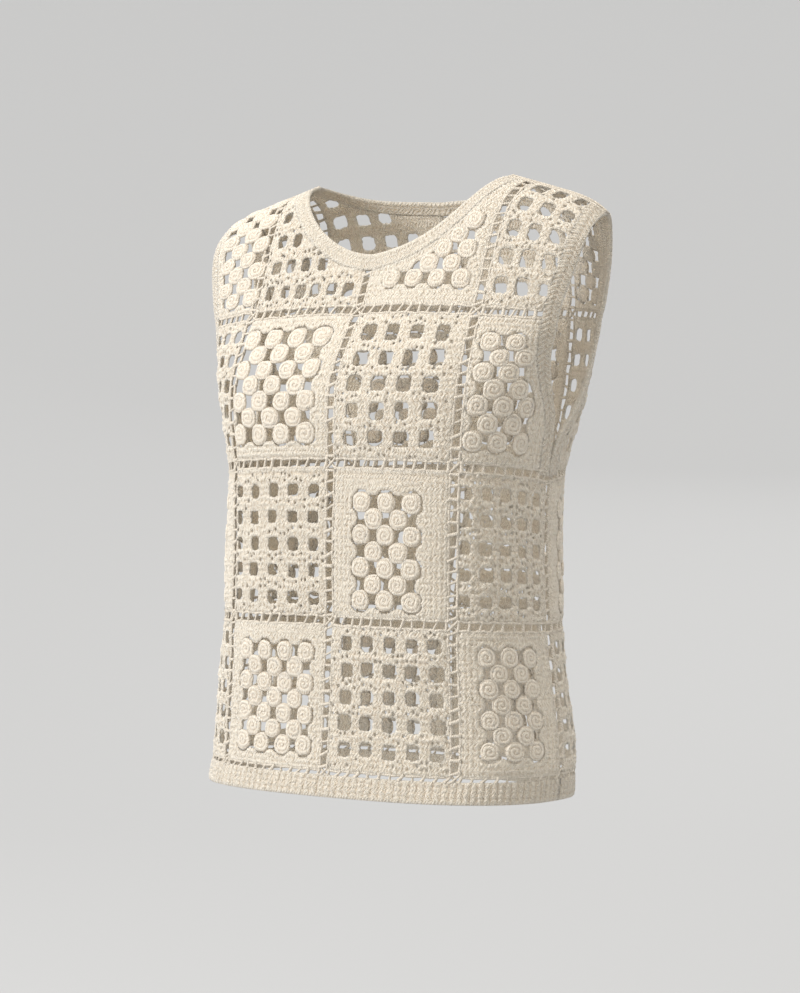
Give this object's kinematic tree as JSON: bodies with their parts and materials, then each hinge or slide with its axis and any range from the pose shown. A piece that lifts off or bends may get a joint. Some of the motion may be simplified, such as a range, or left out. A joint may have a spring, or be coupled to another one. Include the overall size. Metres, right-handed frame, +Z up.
{
  "type": "crochet top",
  "caption": "Sleeveless cream crochet top of joined patchwork squares, round neck, slit armholes and ribbed hem, holding a worn, empty shape.",
  "frame": {"origin": "on the shoulder line, midway between the two shoulders, at the height where the top is held up", "axes": "+X to the wearer's left, -Y out of the front, +Z up"},
  "size_m": [0.42, 0.2193, 0.5437],
  "materials": {
    "cotton_squares": "matt cream cotton crochet",
    "cotton_bands": "matt cream cotton, close ribbed crochet"
  },
  "bodies": {
    "root": {"front_lower_inner_left": "cotton_squares", "front_lower_inner_right": "cotton_squares", "front_lower_outer_left": "cotton_squares", "front_lower_outer_right": "cotton_squares", "front_middle_inner_left": "cotton_squares", "front_middle_inner_right": "cotton_squares", "front_middle_outer_left": "cotton_squares", "front_middle_outer_right": "cotton_squares", "front_bust_inner_left": "cotton_squares", "front_bust_inner_right": "cotton_squares", "front_bust_outer_left": "cotton_squares", "front_bust_outer_right": "cotton_squares", "front_yoke_inner_left": "cotton_squares", "front_yoke_inner_right": "cotton_squares", "front_yoke_outer_left": "cotton_squares", "front_yoke_outer_right": "cotton_squares", "back_lower_inner_left": "cotton_squares", "back_lower_inner_right": "cotton_squares", "back_lower_outer_left": "cotton_squares", "back_lower_outer_right": "cotton_squares", "back_middle_inner_left": "cotton_squares", "back_middle_inner_right": "cotton_squares", "back_middle_outer_left": "cotton_squares", "back_middle_outer_right": "cotton_squares", "back_bust_inner_left": "cotton_squares", "back_bust_inner_right": "cotton_squares", "back_bust_outer_left": "cotton_squares", "back_bust_outer_right": "cotton_squares", "back_yoke_inner_left": "cotton_squares", "back_yoke_inner_right": "cotton_squares", "back_yoke_outer_left": "cotton_squares", "back_yoke_outer_right": "cotton_squares", "neck_band_front": "cotton_bands", "arm_band_front_left": "cotton_bands", "arm_band_front_right": "cotton_bands", "hem_band_front": "cotton_bands", "neck_band_back": "cotton_bands", "arm_band_back_left": "cotton_bands", "arm_band_back_right": "cotton_bands", "hem_band_back": "cotton_bands"}
  },
  "joints": []
}
